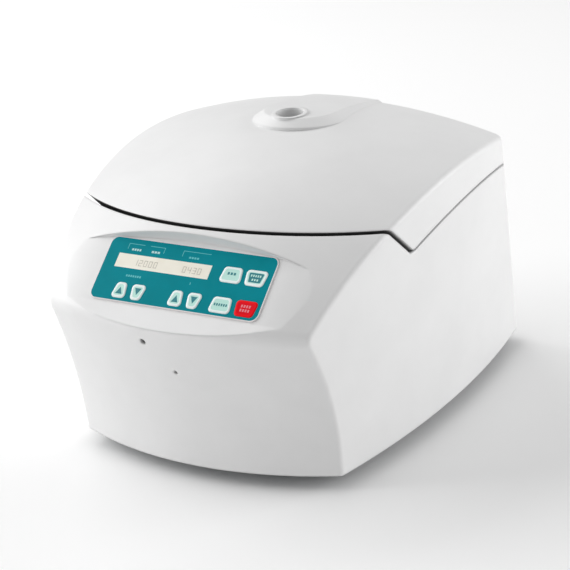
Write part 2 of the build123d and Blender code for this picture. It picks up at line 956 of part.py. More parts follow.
# bowl, a drawn steel pan hung in the deck on a gasket
flange_z = deck_z + gasket_thickness
with BuildPart() as bowl:
    skin = bowl_radius + bowl_wall
    profile = [
        (bowl_collar_radius, bowl_floor_z + bowl_collar_height),
        (bowl_collar_radius, bowl_floor_z - bowl_wall),
        (skin, bowl_floor_z - bowl_wall),
        (skin, flange_z),
        (bowl_flange_radius, flange_z),
        (bowl_flange_radius, flange_z + bowl_wall),
        (bowl_radius, flange_z + bowl_wall),
        (bowl_radius, bowl_floor_z),
        (bowl_collar_radius + bowl_wall, bowl_floor_z),
        (bowl_collar_radius + bowl_wall, bowl_floor_z + bowl_collar_height),
    ]
    with BuildSketch(Plane.YZ):
        with BuildLine():
            Polyline(*[(spin_y + radius, height) for radius, height in profile], close=True)
        make_face()
    revolve(axis=Axis((0, spin_y, 0), (0, 0, 1)), revolution_arc=360)
    under = bowl_floor_z - bowl_wall
    for height, radius in ((under, bowl_corner + bowl_wall), (bowl_floor_z, bowl_corner)):
        corner = bowl.edges().filter_by(lambda k: abs(k.center().Z - height) < 0.1 and k.length > 500)
        fillet(corner, radius=radius)
bowl.part.label = "bowl"

with BuildPart() as bowl_gasket:
    add(ring(bowl_flange_radius, deck_opening_radius, deck_z, flange_z))
bowl_gasket.part.label = "bowl_gasket"

# rotor with a slot for each tube and a rubber ring for their closed ends
web_top = rotor_base_z + rotor_web
with BuildPart() as rotor:
    add(ring(rotor_radius, shaft_radius, rotor_base_z, web_top))
    add(ring(rotor_radius, rotor_radius - rotor_rim_width, web_top, web_top + rotor_rim_height))
    add(ring(rotor_hub_radius, shaft_radius, rotor_base_z - rotor_hub_drop, shaft_top))
    with BuildSketch(Plane.XY.offset(web_top - tube_slot_depth)):
        with Locations((0, spin_y)):
            with PolarLocations((tube_slot_start + tube_slot_end) / 2, tube_places):
                Rectangle(tube_slot_end - tube_slot_start, tube_slot_width)
    extrude(amount=tube_slot_depth, mode=Mode.SUBTRACT)
rotor.part.label = "rotor"

pad_outer = rotor_radius - rotor_rim_width
with BuildPart() as rim_pad:
    add(ring(pad_outer, pad_outer - rim_pad_width, web_top, web_top + rim_pad_height))
rim_pad.part.label = "rim_pad"

cover_z = web_top + rotor_rim_height + cover_lift_gap
cover_top = cover_z + cover_thickness
with BuildPart() as rotor_cover:
    add(ring(cover_radius, stud_radius + running_gap, cover_z, cover_top))
rotor_cover.part.label = "rotor_cover"

knob_z = cover_top + body_gap
with BuildPart() as knob:
    add(ring(knob_radius, stud_radius + running_gap, knob_z, knob_z + knob_height))
    with BuildSketch(Plane.XY.offset(knob_z + knob_collar)):
        with Locations((0, spin_y)):
            with PolarLocations(knob_radius + knob_grip_out, knob_grip_count):
                Circle(knob_grip)
    extrude(amount=knob_height, mode=Mode.SUBTRACT)
    cap_z = stud_top_z + knob_cap_gap
    add(cylinder(0, spin_y, cap_z, knob_z + knob_height, stud_radius + knob_cap_reach))
knob.part.label = "knob"

# lining under the lid: a tray with an upstanding rim
liner_front = lid_wall + liner_gap + liner_front_gap
with BuildPart() as lid_liner:
    add(envelope(lid_wall + liner_gap))
    add(seam_front(-liner_front), mode=Mode.INTERSECT)
    add(block(liner_z, liner_rim_z), mode=Mode.INTERSECT)
    with BuildPart(mode=Mode.PRIVATE) as tray_room:
        add(envelope(lid_wall + liner_gap + liner_thickness))
        add(seam_front(-liner_front - liner_thickness), mode=Mode.INTERSECT)
        add(block(liner_z + liner_thickness, clear_top), mode=Mode.INTERSECT)
    add(tray_room.part, mode=Mode.SUBTRACT)
    with BuildSketch(Plane.XY.offset(liner_z)):
        with Locations((0, spin_y)):
            Circle(port_sleeve_radius)
        for x, y in liner_screw_spots:
            with Locations((x, y), (-x, y)):
                Circle(screw_radius + running_gap)
    extrude(amount=liner_thickness, mode=Mode.SUBTRACT)
lid_liner.part.label = "lid_liner"

liner_under = Plane(origin=(0, 0, liner_z), x_dir=(1, 0, 0), z_dir=(0, 0, -1))
with BuildPart() as liner_screws:
    spots = [(side * x, -y) for x, y in liner_screw_spots for side in (1, -1)]
    add(screws(spots, screw_radius, screw_head_radius, screw_head, liner_screw_length, liner_under))
liner_screws.part.label = "liner_screws"

with BuildPart() as lid_seal:
    add(ring(seal_outer, seal_inner, flange_z + bowl_wall + body_gap, liner_z))
lid_seal.part.label = "lid_seal"

sleeve_top = middle(spin_y)[0] - lid_wall - sleeve_head_gap
with BuildPart() as port_sleeve:
    add(
        ring(
            port_radius + port_sleeve_wall,
            port_sleeve_radius,
            liner_z + liner_thickness,
            sleeve_top,
        )
    )
port_sleeve.part.label = "port_sleeve"

with BuildPart() as port_window:
    add(cylinder(0, spin_y, sleeve_top, sleeve_top + window_thickness, port_radius - running_gap))
port_window.part.label = "port_window"


def side_view(x_middle, width, outline):
    """a plate of a given width cut to a side-view outline"""
    with BuildPart() as solid:
        with BuildSketch(Plane.YZ.offset(x_middle - width / 2)):
            outline()
        extrude(amount=width)
    return solid.part


def ear_outline():
    Polygon(
        (rear_y(hinge_foot_z), hinge_foot_z),
        (rear_y(hinge_foot_z) + hinge_plate, hinge_foot_z),
        (hinge_y + hinge_knuckle, hinge_z),
        (hinge_y - hinge_knuckle, hinge_z),
        (rear_y(hinge_z - ear_slope), hinge_z - ear_slope),
        align=None,
    )
    with Locations((hinge_y, hinge_z)):
        Circle(hinge_knuckle)
        Circle(hinge_pin_radius, mode=Mode.SUBTRACT)


def lug_outline():
    Polygon(
        (rear_y(lug_top_z), lug_top_z),
        (rear_y(lug_top_z) + hinge_plate, lug_top_z),
        (hinge_y + hinge_knuckle, hinge_z),
        (hinge_y - hinge_knuckle, hinge_z),
        (rear_y(hinge_z + ear_slope), hinge_z + ear_slope),
        align=None,
    )
    with Locations((hinge_y, hinge_z)):
        Circle(hinge_knuckle)
        Circle(hinge_pin_radius + running_gap, mode=Mode.SUBTRACT)


# hinges behind the back wall: brackets on the case, lugs on the lid
ear_width = (hinge_width - lug_width) / 2 - body_gap
ear_out = (lug_width + ear_width) / 2 + body_gap
with BuildPart() as hinge_brackets:
    for side in (-1, 1):
        for ear in (-ear_out, ear_out):
            add(side_view(side * hinge_spread + ear, ear_width, ear_outline))
        with BuildSketch(rear_plane(side * hinge_spread, bracket_plate_z, 0)):
            RectangleRounded(hinge_width, bracket_plate_height, plate_corner)
        extrude(amount=hinge_plate)
    with BuildSketch(rear_plane(0, bracket_plate_z, 0)):
        with Locations(*hinge_spots(bracket_screw_step)):
            Circle(screw_radius)
    extrude(amount=hinge_plate, mode=Mode.SUBTRACT)
hinge_brackets.part.label = "hinge_brackets"

with BuildPart() as bracket_screws:
    add(
        screws(
            hinge_spots(bracket_screw_step),
            screw_radius,
            screw_head_radius,
            screw_head,
            hinge_plate,
            rear_plane(0, bracket_plate_z, hinge_plate),
        )
    )
bracket_screws.part.label = "bracket_screws"

with BuildPart() as hinge_lugs:
    for side in (-1, 1):
        add(side_view(side * hinge_spread, lug_width, lug_outline))
        with BuildSketch(rear_plane(side * hinge_spread, lug_plate_z, 0)):
            RectangleRounded(hinge_width, lug_plate_height, plate_corner)
        extrude(amount=hinge_plate)
    with BuildSketch(rear_plane(0, lug_plate_z, 0)):
        with Locations(*hinge_spots(lug_screw_step)):
            Circle(screw_radius)
    extrude(amount=hinge_plate, mode=Mode.SUBTRACT)
hinge_lugs.part.label = "hinge_lugs"

with BuildPart() as lug_screws:
    add(
        screws(
            hinge_spots(lug_screw_step),
            screw_radius,
            screw_head_radius,
            screw_head,
            hinge_plate,
            rear_plane(0, lug_plate_z, hinge_plate),
        )
    )
lug_screws.part.label = "lug_screws"

with BuildPart() as hinge_pins:
    for side in (-1, 1):
        with BuildSketch(Plane.YZ.offset(side * hinge_spread - hinge_width / 2)):
            with Locations((hinge_y, hinge_z)):
                Circle(hinge_pin_radius)
        extrude(amount=hinge_width)
hinge_pins.part.label = "hinge_pins"

# lock: a hook on the lid, a sliding bolt in a housing under the deck and the emergency spindle
hook_face = hook_y - hook_thickness / 2
with BuildPart() as lid_hook:
    with BuildSketch(Plane.XY.offset(hook_bottom_z)):
        with Locations((0, hook_y)):
            Rectangle(hook_width, hook_thickness)
    extrude(amount=liner_z - hook_bottom_z)
    with BuildSketch(Plane.XY.offset(liner_z - hook_thickness)):
        with Locations((0, hook_face - hook_foot / 2)):
            Rectangle(hook_width, hook_foot)
    extrude(amount=hook_thickness)
    with BuildSketch(Plane.XZ.offset(-hook_y - hook_thickness)):
        with Locations((0, hook_window_z)):
            Rectangle(bolt_width + hook_window_spare, hook_window)
    extrude(amount=2 * hook_thickness, mode=Mode.SUBTRACT)
lid_hook.part.label = "lid_hook"

lock_top_z = deck_z - case_wall
with BuildPart() as lock_case:
    with BuildSketch(Plane.XY.offset(lock_bottom_z)):
        with Locations((0, (lock_front_y + lock_rear_y) / 2)):
            RectangleRounded(2 * lock_half_width, lock_rear_y - lock_front_y, lock_corner)
    extrude(amount=lock_top_z - lock_bottom_z)
    with BuildSketch(Plane.XY.offset(lock_bottom_z + lock_wall)):
        with Locations((0, (lock_front_y + lock_rear_y) / 2)):
            Rectangle(2 * (lock_half_width - lock_wall), lock_rear_y - lock_front_y - 2 * lock_wall)
    extrude(amount=lock_top_z - lock_bottom_z - 2 * lock_wall, mode=Mode.SUBTRACT)
    with BuildSketch(Plane.XZ.offset(-lock_rear_y - clear_wall)):
        with Locations((0, hook_window_z)):
            Rectangle(bolt_width + 2 * body_gap, bolt_height + 2 * body_gap)
    extrude(amount=lock_wall + 2 * clear_wall, mode=Mode.SUBTRACT)
    with BuildSketch(Plane.XZ.offset(-lock_front_y - lock_wall - clear_wall)):
        with Locations((release_x, release_z)):
            Circle(spindle_radius + running_gap)
    extrude(amount=lock_wall + 2 * clear_wall, mode=Mode.SUBTRACT)
lock_case.part.label = "lock_case"

bolt_rear = lock_rear_y - body_gap
with BuildPart() as lock_bolt:
    with BuildSketch(Plane.XZ.offset(-bolt_rear)):
        with Locations((0, hook_window_z)):
            Rectangle(bolt_width, bolt_height)
    extrude(amount=bolt_length)
lock_bolt.part.label = "lock_bolt"

with BuildPart() as lock_motor:
    with BuildSketch(Plane.YZ.offset(lock_half_width)):
        with Locations(((lock_front_y + lock_rear_y) / 2, hook_window_z - lock_motor_drop)):
            Circle(lock_motor_radius)
    extrude(amount=lock_motor_length)
lock_motor.part.label = "lock_motor"

with BuildPart() as release_spindle:
    spindle_rear_y = lock_front_y + lock_wall + spindle_inside
    with BuildSketch(Plane.XZ.offset(-spindle_rear_y)):
        with Locations((release_x, release_z)):
            Circle(spindle_radius)
    extrude(amount=spindle_rear_y - spindle_front_y)
    with BuildSketch(Plane.XZ.offset(-spindle_front_y - spindle_socket_depth)):
        with Locations((release_x, release_z)):
            RegularPolygon(spindle_socket, 6)
    extrude(amount=spindle_socket_depth + clear_wall, mode=Mode.SUBTRACT)
release_spindle.part.label = "release_spindle"

# keypad: front plate, display and eight keys on one board
with BuildPart() as keypad_plate:
    with BuildSketch(pocket_at(keypad_thickness)):
        RectangleRounded(keypad_width, keypad_height, keypad_corner)
        with Locations((display_u, display_v)):
            Rectangle(display_width, display_height, mode=Mode.SUBTRACT)
    extrude(amount=keypad_thickness)
    for name, u, v, low, high in keys:
        with BuildSketch(pocket_at(keypad_thickness)):
            key_outline(u, v, low, high, key_gap)
        extrude(amount=keypad_thickness, mode=Mode.SUBTRACT)
keypad_plate.part.label = "keypad_plate"

with BuildPart() as display_window:
    with BuildSketch(pocket_at(keypad_thickness)):
        with Locations((display_u, display_v)):
            Rectangle(display_width, display_height)
    extrude(amount=keypad_thickness)
display_window.part.label = "display_window"

with BuildPart() as display_module:
    with BuildSketch(pocket_at(board_depth)):
        with Locations((display_u, display_v + module_lift)):
            Rectangle(display_width + 2 * module_side, display_height + 2 * module_edge)
    extrude(amount=board_depth - keypad_thickness)
display_module.part.label = "display_module"


def make_key(u, v, low, high):
    with BuildPart() as solid:
        with BuildSketch(pocket_at(key_depth)):
            key_outline(u, v, low, high, 0)
        extrude(amount=key_depth + key_stand)
        with BuildSketch(pocket_at(keypad_thickness + body_gap + key_flange)):
            key_outline(u, v, low, high, key_flange)
        extrude(amount=key_flange)
    return solid.part


key_parts = []
for name, u, v, low, high in keys:
    with BuildPart() as key:
        add(make_key(u, v, low, high))
    key.part.label = name
    key_parts.append(key)

switch_top = key_depth + key_travel + body_gap
with BuildPart() as key_switches:
    with BuildSketch(pocket_at(board_depth)):
        with Locations(*[(u, v) for name, u, v, low, high in keys]):
            Rectangle(key_switch, key_switch)
    extrude(amount=board_depth - switch_top)
key_switches.part.label = "key_switches"

with BuildPart() as control_board:
    with BuildSketch(pocket_at(board_depth + board_thickness)):
        Rectangle(board_width, board_height)
    extrude(amount=board_thickness)
control_board.part.label = "control_board"

# back panel: mains socket, fuse drawer, rocker switch and a bare plate
with BuildPart() as power_inlet:
    with BuildSketch(rear_plane(inlet_x, panel_z, 0)):
        RectangleRounded(
            inlet_width + 2 * inlet_flange, inlet_height + 2 * inlet_flange, flange_corner
        )
    extrude(amount=panel_flange)
    with BuildSketch(rear_plane(inlet_x, panel_z, 0)):
        Rectangle(inlet_width, inlet_height)
    extrude(amount=-inlet_depth)
    with BuildSketch(rear_plane(inlet_x, panel_z, panel_flange)):
        RectangleRounded(socket_width, socket_height, flange_corner)
    extrude(amount=-socket_depth - panel_flange, mode=Mode.SUBTRACT)
power_inlet.part.label = "power_inlet"

with BuildPart() as inlet_pins:
    with BuildSketch(rear_plane(inlet_x, panel_z, -socket_depth)):
        with Locations(*pin_spots):
            Rectangle(pin_width, pin_height)
    extrude(amount=pin_length)
inlet_pins.part.label = "inlet_pins"

fuse_room = (fuse_width - 2 * shell_wall, fuse_height - 2 * shell_wall)
with BuildPart() as fuse_holder:
    with BuildSketch(rear_plane(fuse_x, panel_z, 0)):
        RectangleRounded(
            fuse_width + 2 * inlet_flange, fuse_height + 2 * inlet_flange, flange_corner
        )
    extrude(amount=panel_flange)
    with BuildSketch(rear_plane(fuse_x, panel_z, 0)):
        Rectangle(fuse_width, fuse_height)
    extrude(amount=-fuse_depth)
    with BuildSketch(rear_plane(fuse_x, panel_z, panel_flange)):
        Rectangle(*fuse_room)
    extrude(amount=-fuse_depth - panel_flange + drawer_floor, mode=Mode.SUBTRACT)
fuse_holder.part.label = "fuse_holder"

with BuildPart() as fuse_drawer:
    with BuildSketch(rear_plane(fuse_x, panel_z, body_gap + panel_flange)):
        RectangleRounded(fuse_width, fuse_height, shell_wall)
    extrude(amount=drawer_front)
    with BuildSketch(rear_plane(fuse_x, panel_z, body_gap + panel_flange)):
        Rectangle(fuse_room[0] - 2 * body_gap, fuse_room[1] - 2 * body_gap)
    extrude(amount=-drawer_length)
fuse_drawer.part.label = "fuse_drawer"

rocker_seat = rear_plane(switch_x, panel_z, panel_flange - rocker_sink)
rocker_lean = radians(rocker_rest)
rocker_along = rocker_seat.x_dir * cos(rocker_lean) + rocker_seat.z_dir * sin(rocker_lean)
rocker_plane = Plane(origin=rocker_seat.origin, x_dir=rocker_along, z_dir=-rocker_seat.y_dir)
switch_room = (switch_width - 2 * shell_wall, switch_height - 2 * shell_wall)
rocker_half = switch_room[0] / 2 - rocker_room
with BuildPart() as switch_frame:
    with BuildSketch(rear_plane(switch_x, panel_z, 0)):
        RectangleRounded(
            switch_width + 2 * inlet_flange, switch_height + 2 * inlet_flange, flange_corner
        )
    extrude(amount=panel_flange)
    with BuildSketch(rear_plane(switch_x, panel_z, 0)):
        Rectangle(switch_width, switch_height)
    extrude(amount=-switch_depth)
    with BuildSketch(rear_plane(switch_x, panel_z, panel_flange)):
        Rectangle(*switch_room)
    extrude(amount=-switch_depth - panel_flange + end_wall, mode=Mode.SUBTRACT)
    with BuildSketch(rocker_plane):
        Circle(pivot_radius + running_gap)
    extrude(amount=switch_room[1] / 2 + pivot_reach + running_gap, both=True, mode=Mode.SUBTRACT)
switch_frame.part.label = "switch_frame"

with BuildPart() as switch_rocker:
    with BuildSketch(rocker_plane):
        with BuildLine():
            Polyline(
                (-rocker_half, rocker_rise),
                (0, rocker_dip),
                (rocker_half, rocker_rise),
                (rocker_half, -rocker_shoulder),
                (0, -rocker_drop),
                (-rocker_half, -rocker_shoulder),
                close=True,
            )
        make_face()
    extrude(amount=switch_room[1] / 2 - body_gap, both=True)
    with BuildSketch(rocker_plane):
        Circle(pivot_radius)
    extrude(amount=switch_room[1] / 2 + pivot_reach, both=True)
switch_rocker.part.label = "switch_rocker"

with BuildPart() as rating_plate:
    with BuildSketch(rear_plane(plate_x, plate_z, 0)):
        RectangleRounded(plate_width, plate_height, flange_corner)
    extrude(amount=plate_thickness)
rating_plate.part.label = "rating_plate"

# mains board behind the motor
with BuildPart() as board_posts:
    with BuildSketch(Plane.XY.offset(base_z + base_thickness)):
        with Locations((power_board_x, power_board_y)):
            across = power_board_width - power_post_set_in[0]
            with GridLocations(across, power_board_deep - power_post_set_in[1], 2, 2):
                Circle(power_post_radius)
    extrude(amount=power_board_z - base_z - base_thickness)
board_posts.part.label = "board_posts"

with BuildPart() as power_board:
    with BuildSketch(Plane.XY.offset(power_board_z)):
        with Locations((power_board_x, power_board_y)):
            Rectangle(power_board_width, power_board_deep)
    extrude(amount=board_thickness)
power_board.part.label = "power_board"

with BuildPart() as power_parts:
    with BuildSketch(Plane.XY.offset(power_board_z + board_thickness)):
        with Locations((power_board_x + coil_x, power_board_y)):
            Rectangle(*coil_size)
        with Locations(*[(power_board_x + step, power_board_y) for step in can_spots]):
            Circle(can_radius)
    extrude(amount=power_part_height)
power_parts.part.label = "power_parts"

pieces = [
    case,
    lid_shell,
    base_plate,
    base_screws,
    feet,
    foot_screws,
    motor_bracket,
    motor_mounts,
    motor_case,
    motor_screws,
    motor_stator,
    armature,
    motor_shaft,
    bowl,
    bowl_gasket,
    rotor,
    rim_pad,
    rotor_cover,
    knob,
    lid_liner,
    liner_screws,
    lid_seal,
    port_sleeve,
    port_window,
    hinge_brackets,
    bracket_screws,
    hinge_lugs,
    lug_screws,
    hinge_pins,
    lid_hook,
    lock_case,
    lock_bolt,
    lock_motor,
    release_spindle,
    keypad_plate,
    display_window,
    display_module,
    key_switches,
    control_board,
    power_inlet,
    inlet_pins,
    fuse_holder,
    fuse_drawer,
    switch_frame,
    switch_rocker,
    rating_plate,
    board_posts,
    power_board,
    power_parts,
]
for piece in pieces + key_parts:
    export_step(piece.part, "parts/" + piece.part.label + ".step")
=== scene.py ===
import bmesh
import bpy
import json
from math import atan2, cos, pi, radians, sin
from mathutils import Matrix, Vector


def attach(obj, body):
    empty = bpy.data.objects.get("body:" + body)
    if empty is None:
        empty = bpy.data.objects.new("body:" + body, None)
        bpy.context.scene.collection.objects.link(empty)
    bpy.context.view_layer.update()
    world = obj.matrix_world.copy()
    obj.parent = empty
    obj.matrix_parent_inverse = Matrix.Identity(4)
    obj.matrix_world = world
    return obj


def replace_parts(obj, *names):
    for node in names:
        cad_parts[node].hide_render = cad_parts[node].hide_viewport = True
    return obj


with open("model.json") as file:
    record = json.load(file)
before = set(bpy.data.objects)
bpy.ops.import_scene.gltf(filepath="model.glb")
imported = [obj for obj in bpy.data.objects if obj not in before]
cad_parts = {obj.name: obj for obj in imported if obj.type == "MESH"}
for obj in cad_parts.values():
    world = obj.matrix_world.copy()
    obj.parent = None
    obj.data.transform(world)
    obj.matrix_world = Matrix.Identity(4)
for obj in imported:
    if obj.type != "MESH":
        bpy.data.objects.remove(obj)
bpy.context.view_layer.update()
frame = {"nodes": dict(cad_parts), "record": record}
nodes = frame["nodes"]

MM = 0.001

# camera, in the photograph's frame of 570 by 570 pixels
picture_width = 570
sensor = 36.0
focal_pixels = 2126.98
camera_azimuth = radians(32.65)
camera_elevation = radians(22.83)
camera_roll = radians(-5.71)
camera_distance = 1.60126
camera_target = Vector((0.01149, -0.0094, 0.10288))

# keypad, in mm, on its own leaning plane: u to the right, v up the slope
panel_y = -123.3
panel_z = 154.0
panel_tilt = radians(38.65)
film_width = 141.0
film_height = 51.0
film_corner = 6.0
film_border = 0.5
ink_lift = 0.03
key_height = 12.0
key_corner = 2.8
key_corner_growth = 0.6
mark_lift = 0.43
row_low = -16.6
row_high = 7.4
narrow_arrow = 7.6
wide_arrow = 12.0
narrow_word = 14.2
wide_word = 17.6

# an embossed key's section, from its foot to its face, as how far inside the outline and how high, in mm
key_section = (
    (-0.25, -1.0),
    (-0.25, 0.0),
    (0.0, 0.12),
    (0.15, 0.3),
    (0.45, 0.44),
    (0.95, 0.5),
    (1.6, 0.46),
    (2.6, 0.4),
)
rim_steps = 6

# film between and round the keys, in mm
film_depth = 0.95
film_overlap = 0.06
web_gap = 0.3
web_reach = 1.1
web_corner = 2.0

# marks printed on the film, in mm
bracket_line = 0.45
bracket_top = 20.6
bracket_low = 16.4
segment_half = 0.28

# rotor, in mm
spin_y = 39.5
rotor_web_top = 116.0
places = 24
number_size = 4.2
number_radius = 79.2
number_lift = 0.04

# front joint of the lid, a cone about an upright axis, in mm
joint_axis_y = 133.6
joint_radius = 227.8
joint_radius_z = 179.0
joint_spread = 0.77
joint_face = 0.25
joint_rear_y = -20.0
joint_shade_reach = 12.0


def colour(hex_code):
    """an sRGB hex value as the linear colour that the shaders take"""
    parts = [int(hex_code[i:i + 2], 16) / 255 for i in (0, 2, 4)]
    return [c / 12.92 if c <= 0.04045 else ((c + 0.055) / 1.055) ** 2.4 for c in parts] + [1.0]


def per_mm(size):
    """texture scale for a pattern whose marks are this many millimetres apart"""
    return 1000.0 / size


def add_node(tree, kind, settings=None, inputs=None):
    """adds a node; settings are its own choices, inputs are values or the sockets that feed it"""
    node = tree.nodes.new(kind)
    for name, value in (settings or {}).items():
        setattr(node, name, value)
    for name, value in (inputs or {}).items():
        if isinstance(value, bpy.types.NodeSocket):
            tree.links.new(value, node.inputs[name])
        else:
            node.inputs[name].default_value = value
    return node


def new_finish(name, roughness=0.5, metallic=0.0, **sockets):
    """a material with its shader, its tree and the place of each point in the object's own frame"""
    material = bpy.data.materials.new(name)
    material.use_nodes = True
    tree = material.node_tree
    shader = tree.nodes["Principled BSDF"]
    shader.inputs["Roughness"].default_value = roughness
    shader.inputs["Metallic"].default_value = metallic
    for socket, value in sockets.items():
        shader.inputs[socket.replace("_", " ")].default_value = value
    place = add_node(tree, "ShaderNodeTexCoord").outputs["Object"]
    return material, tree, shader, place


def grain(tree, place, size, detail=3.0, stretch=(1, 1, 1)):
    """a noise whose marks are about size millimetres across"""
    scaled = add_node(tree, "ShaderNodeMapping", inputs={"Vector": place, "Scale": stretch})
    return add_node(
        tree,
        "ShaderNodeTexNoise",
        inputs={"Vector": scaled.outputs[0], "Scale": per_mm(size), "Detail": detail, "Roughness": 0.55},
    ).outputs["Fac"]


def shaded(tree, pattern, light, shade, start=0.3, end=0.7):
    """a colour that runs from one hex value to the other where the pattern runs from start to end"""
    share = add_node(
        tree, "ShaderNodeMapRange", inputs={"Value": pattern, "From Min": start, "From Max": end}
    ).outputs[0]
    return add_node(
        tree,
        "ShaderNodeMix",
        {"data_type": "RGBA"},
        {"Factor": share, 6: colour(light), 7: colour(shade)},
    ).outputs[2]


def roughened(tree, shader, pattern, low, high, start=0.3, end=0.7):
    """lets the shader's roughness run from low to high where the pattern runs from start to end"""
    rough = add_node(
        tree,
        "ShaderNodeMapRange",
        inputs={"Value": pattern, "From Min": start, "From Max": end, "To Min": low, "To Max": high},
    ).outputs[0]
    tree.links.new(rough, shader.inputs["Roughness"])


def off_axis(tree, place, axis_y):
    """how far each point is from an upright axis at x = 0 and at axis_y, which is in millimetres"""
    centred = add_node(
        tree, "ShaderNodeMapping", inputs={"Vector": place, "Location": (0, -axis_y * MM, 0)}
    ).outputs[0]
    flat = add_node(
        tree, "ShaderNodeVectorMath", {"operation": "MULTIPLY"}, {0: centred, 1: (1, 1, 0)}
    ).outputs[0]
    return add_node(tree, "ShaderNodeVectorMath", {"operation": "LENGTH"}, {0: flat}).outputs["Value"]


def relief(tree, shader, height, depth_mm, eased_mm=0.0):
    """a bump of that depth, on edges that look eased by that radius"""
    inputs = {"Height": height, "Distance": depth_mm * MM}
    if eased_mm:
        inputs["Normal"] = add_node(
            tree, "ShaderNodeBevel", {"samples": 8}, {"Radius": eased_mm * MM}
        ).outputs[0]
    bump = add_node(tree, "ShaderNodeBump", inputs=inputs)
    tree.links.new(bump.outputs[0], shader.inputs["Normal"])


def worn_edges(tree, base, width_mm, bare):
    """the base colour, with the bare hex colour along sharp edges"""
    rounded = add_node(tree, "ShaderNodeBevel", {"samples": 4}, {"Radius": width_mm * MM})
    flat = add_node(tree, "ShaderNodeNewGeometry").outputs["Normal"]
    same = add_node(
        tree, "ShaderNodeVectorMath", {"operation": "DOT_PRODUCT"}, {0: rounded.outputs[0], 1: flat}
    ).outputs["Value"]
    wear = add_node(
        tree,
        "ShaderNodeMapRange",
        inputs={"Value": same, "From Min": 0.8, "From Max": 0.995, "To Min": 1.0, "To Max": 0.0},
    ).outputs[0]
    return add_node(
        tree, "ShaderNodeMix", {"data_type": "RGBA"}, {"Factor": wear, 6: base, 7: colour(bare)}
    ).outputs[2]


def joint_painted_shade(tree, place, grow):
    """strength of the painted shade: 1 in the closed front joint, on its face grow millimetres outside the
    lid's cone, 0 elsewhere
    """
    apart = add_node(tree, "ShaderNodeSeparateXYZ", inputs={"Vector": place}).outputs
    upright = add_node(
        tree,
        "ShaderNodeMath",
        {"operation": "MULTIPLY_ADD"},
        {0: apart["Z"], 1: -joint_spread, 2: off_axis(tree, place, joint_axis_y)},
    ).outputs[0]
    on_face = add_node(
        tree,
        "ShaderNodeMath",
        {"operation": "COMPARE"},
        {0: upright, 1: (joint_radius + grow - joint_spread * joint_radius_z) * MM, 2: joint_face * MM},
    ).outputs[0]
    at_front = add_node(
        tree, "ShaderNodeMath", {"operation": "LESS_THAN"}, {0: apart["Y"], 1: joint_rear_y * MM}
    ).outputs[0]
    # ambient occlusion drives the painted shade: the joint darkens while the lid is closed and clears once it
    # opens
    open_sky = add_node(
        tree, "ShaderNodeAmbientOcclusion", {"samples": 8}, {"Distance": joint_shade_reach * MM}
    ).outputs["AO"]
    closed = add_node(
        tree,
        "ShaderNodeMapRange",
        inputs={"Value": open_sky, "From Min": 0.55, "From Max": 0.9, "To Min": 1.0, "To Max": 0.0},
    ).outputs[0]
    on_front = add_node(
        tree, "ShaderNodeMath", {"operation": "MULTIPLY"}, {0: on_face, 1: at_front}
    ).outputs[0]
    return add_node(tree, "ShaderNodeMath", {"operation": "MULTIPLY"}, {0: on_front, 1: closed}).outputs[0]


def sprayed_paint(name, light, shade, joint_grow):
    # two-pack polyurethane paint on structural foam: satin white with a faint orange peel and eased edges;
    # deep in the closed front joint, where no room light reaches, near-black painted shade darkens it
    material, tree, shader, place = new_finish(name, 0.42, IOR=1.5)
    coat = shaded(tree, grain(tree, place, 60, 4), light, shade)
    # the near-black 4C4C4C is painted shade, laid over the coat in the closed joint
    coat_with_painted_shade = add_node(
        tree,
        "ShaderNodeMix",
        {"data_type": "RGBA"},
        {"Factor": joint_painted_shade(tree, place, joint_grow), 6: coat, 7: colour("4C4C4C")},
    ).outputs[2]
    tree.links.new(coat_with_painted_shade, shader.inputs["Base Color"])
    roughened(tree, shader, grain(tree, place, 9, 3), 0.38, 0.47)
    relief(tree, shader, grain(tree, place, 1.8, 2), 0.012, 2.6)
    return material


def moulded_plastic(name, light, shade, roughness, spark_mm=0.6, depth_mm=0.02):
    # ABS moulded in an eroded steel tool: a fine even grain that breaks up the highlight
    material, tree, shader, place = new_finish(name, roughness, IOR=1.53)
    tree.links.new(shaded(tree, grain(tree, place, 18, 4), light, shade), shader.inputs["Base Color"])
    roughened(tree, shader, grain(tree, place, 5, 3), roughness - 0.05, roughness + 0.07)
    relief(tree, shader, grain(tree, place, spark_mm, 2), depth_mm)
    return material


def printed_film(name, light, shade, roughness=0.34):
    # polyester film printed on its back: even colour under a velvet surface, its 0.1 mm grain drawn at 0.5 mm
    material, tree, shader, place = new_finish(name, roughness, IOR=1.57, Specular_IOR_Level=0.04)
    tree.links.new(shaded(tree, grain(tree, place, 22, 3), light, shade), shader.inputs["Base Color"])
    roughened(tree, shader, grain(tree, place, 3, 3), roughness - 0.05, roughness + 0.06)
    relief(tree, shader, grain(tree, place, 0.5, 1), 0.006)
    return material


def vulcanised_rubber(name, light, shade):
    # moulded rubber: nearly black, dull, with a dusty bloom and a pebbled skin
    material, tree, shader, place = new_finish(name, 0.8, IOR=1.52)
    bloom = grain(tree, place, 6, 5)
    tree.links.new(shaded(tree, bloom, light, shade, 0.45, 0.75), shader.inputs["Base Color"])
    roughened(tree, shader, bloom, 0.72, 0.9, 0.45, 0.75)
    relief(tree, shader, grain(tree, place, 0.9, 2), 0.03)
    return material


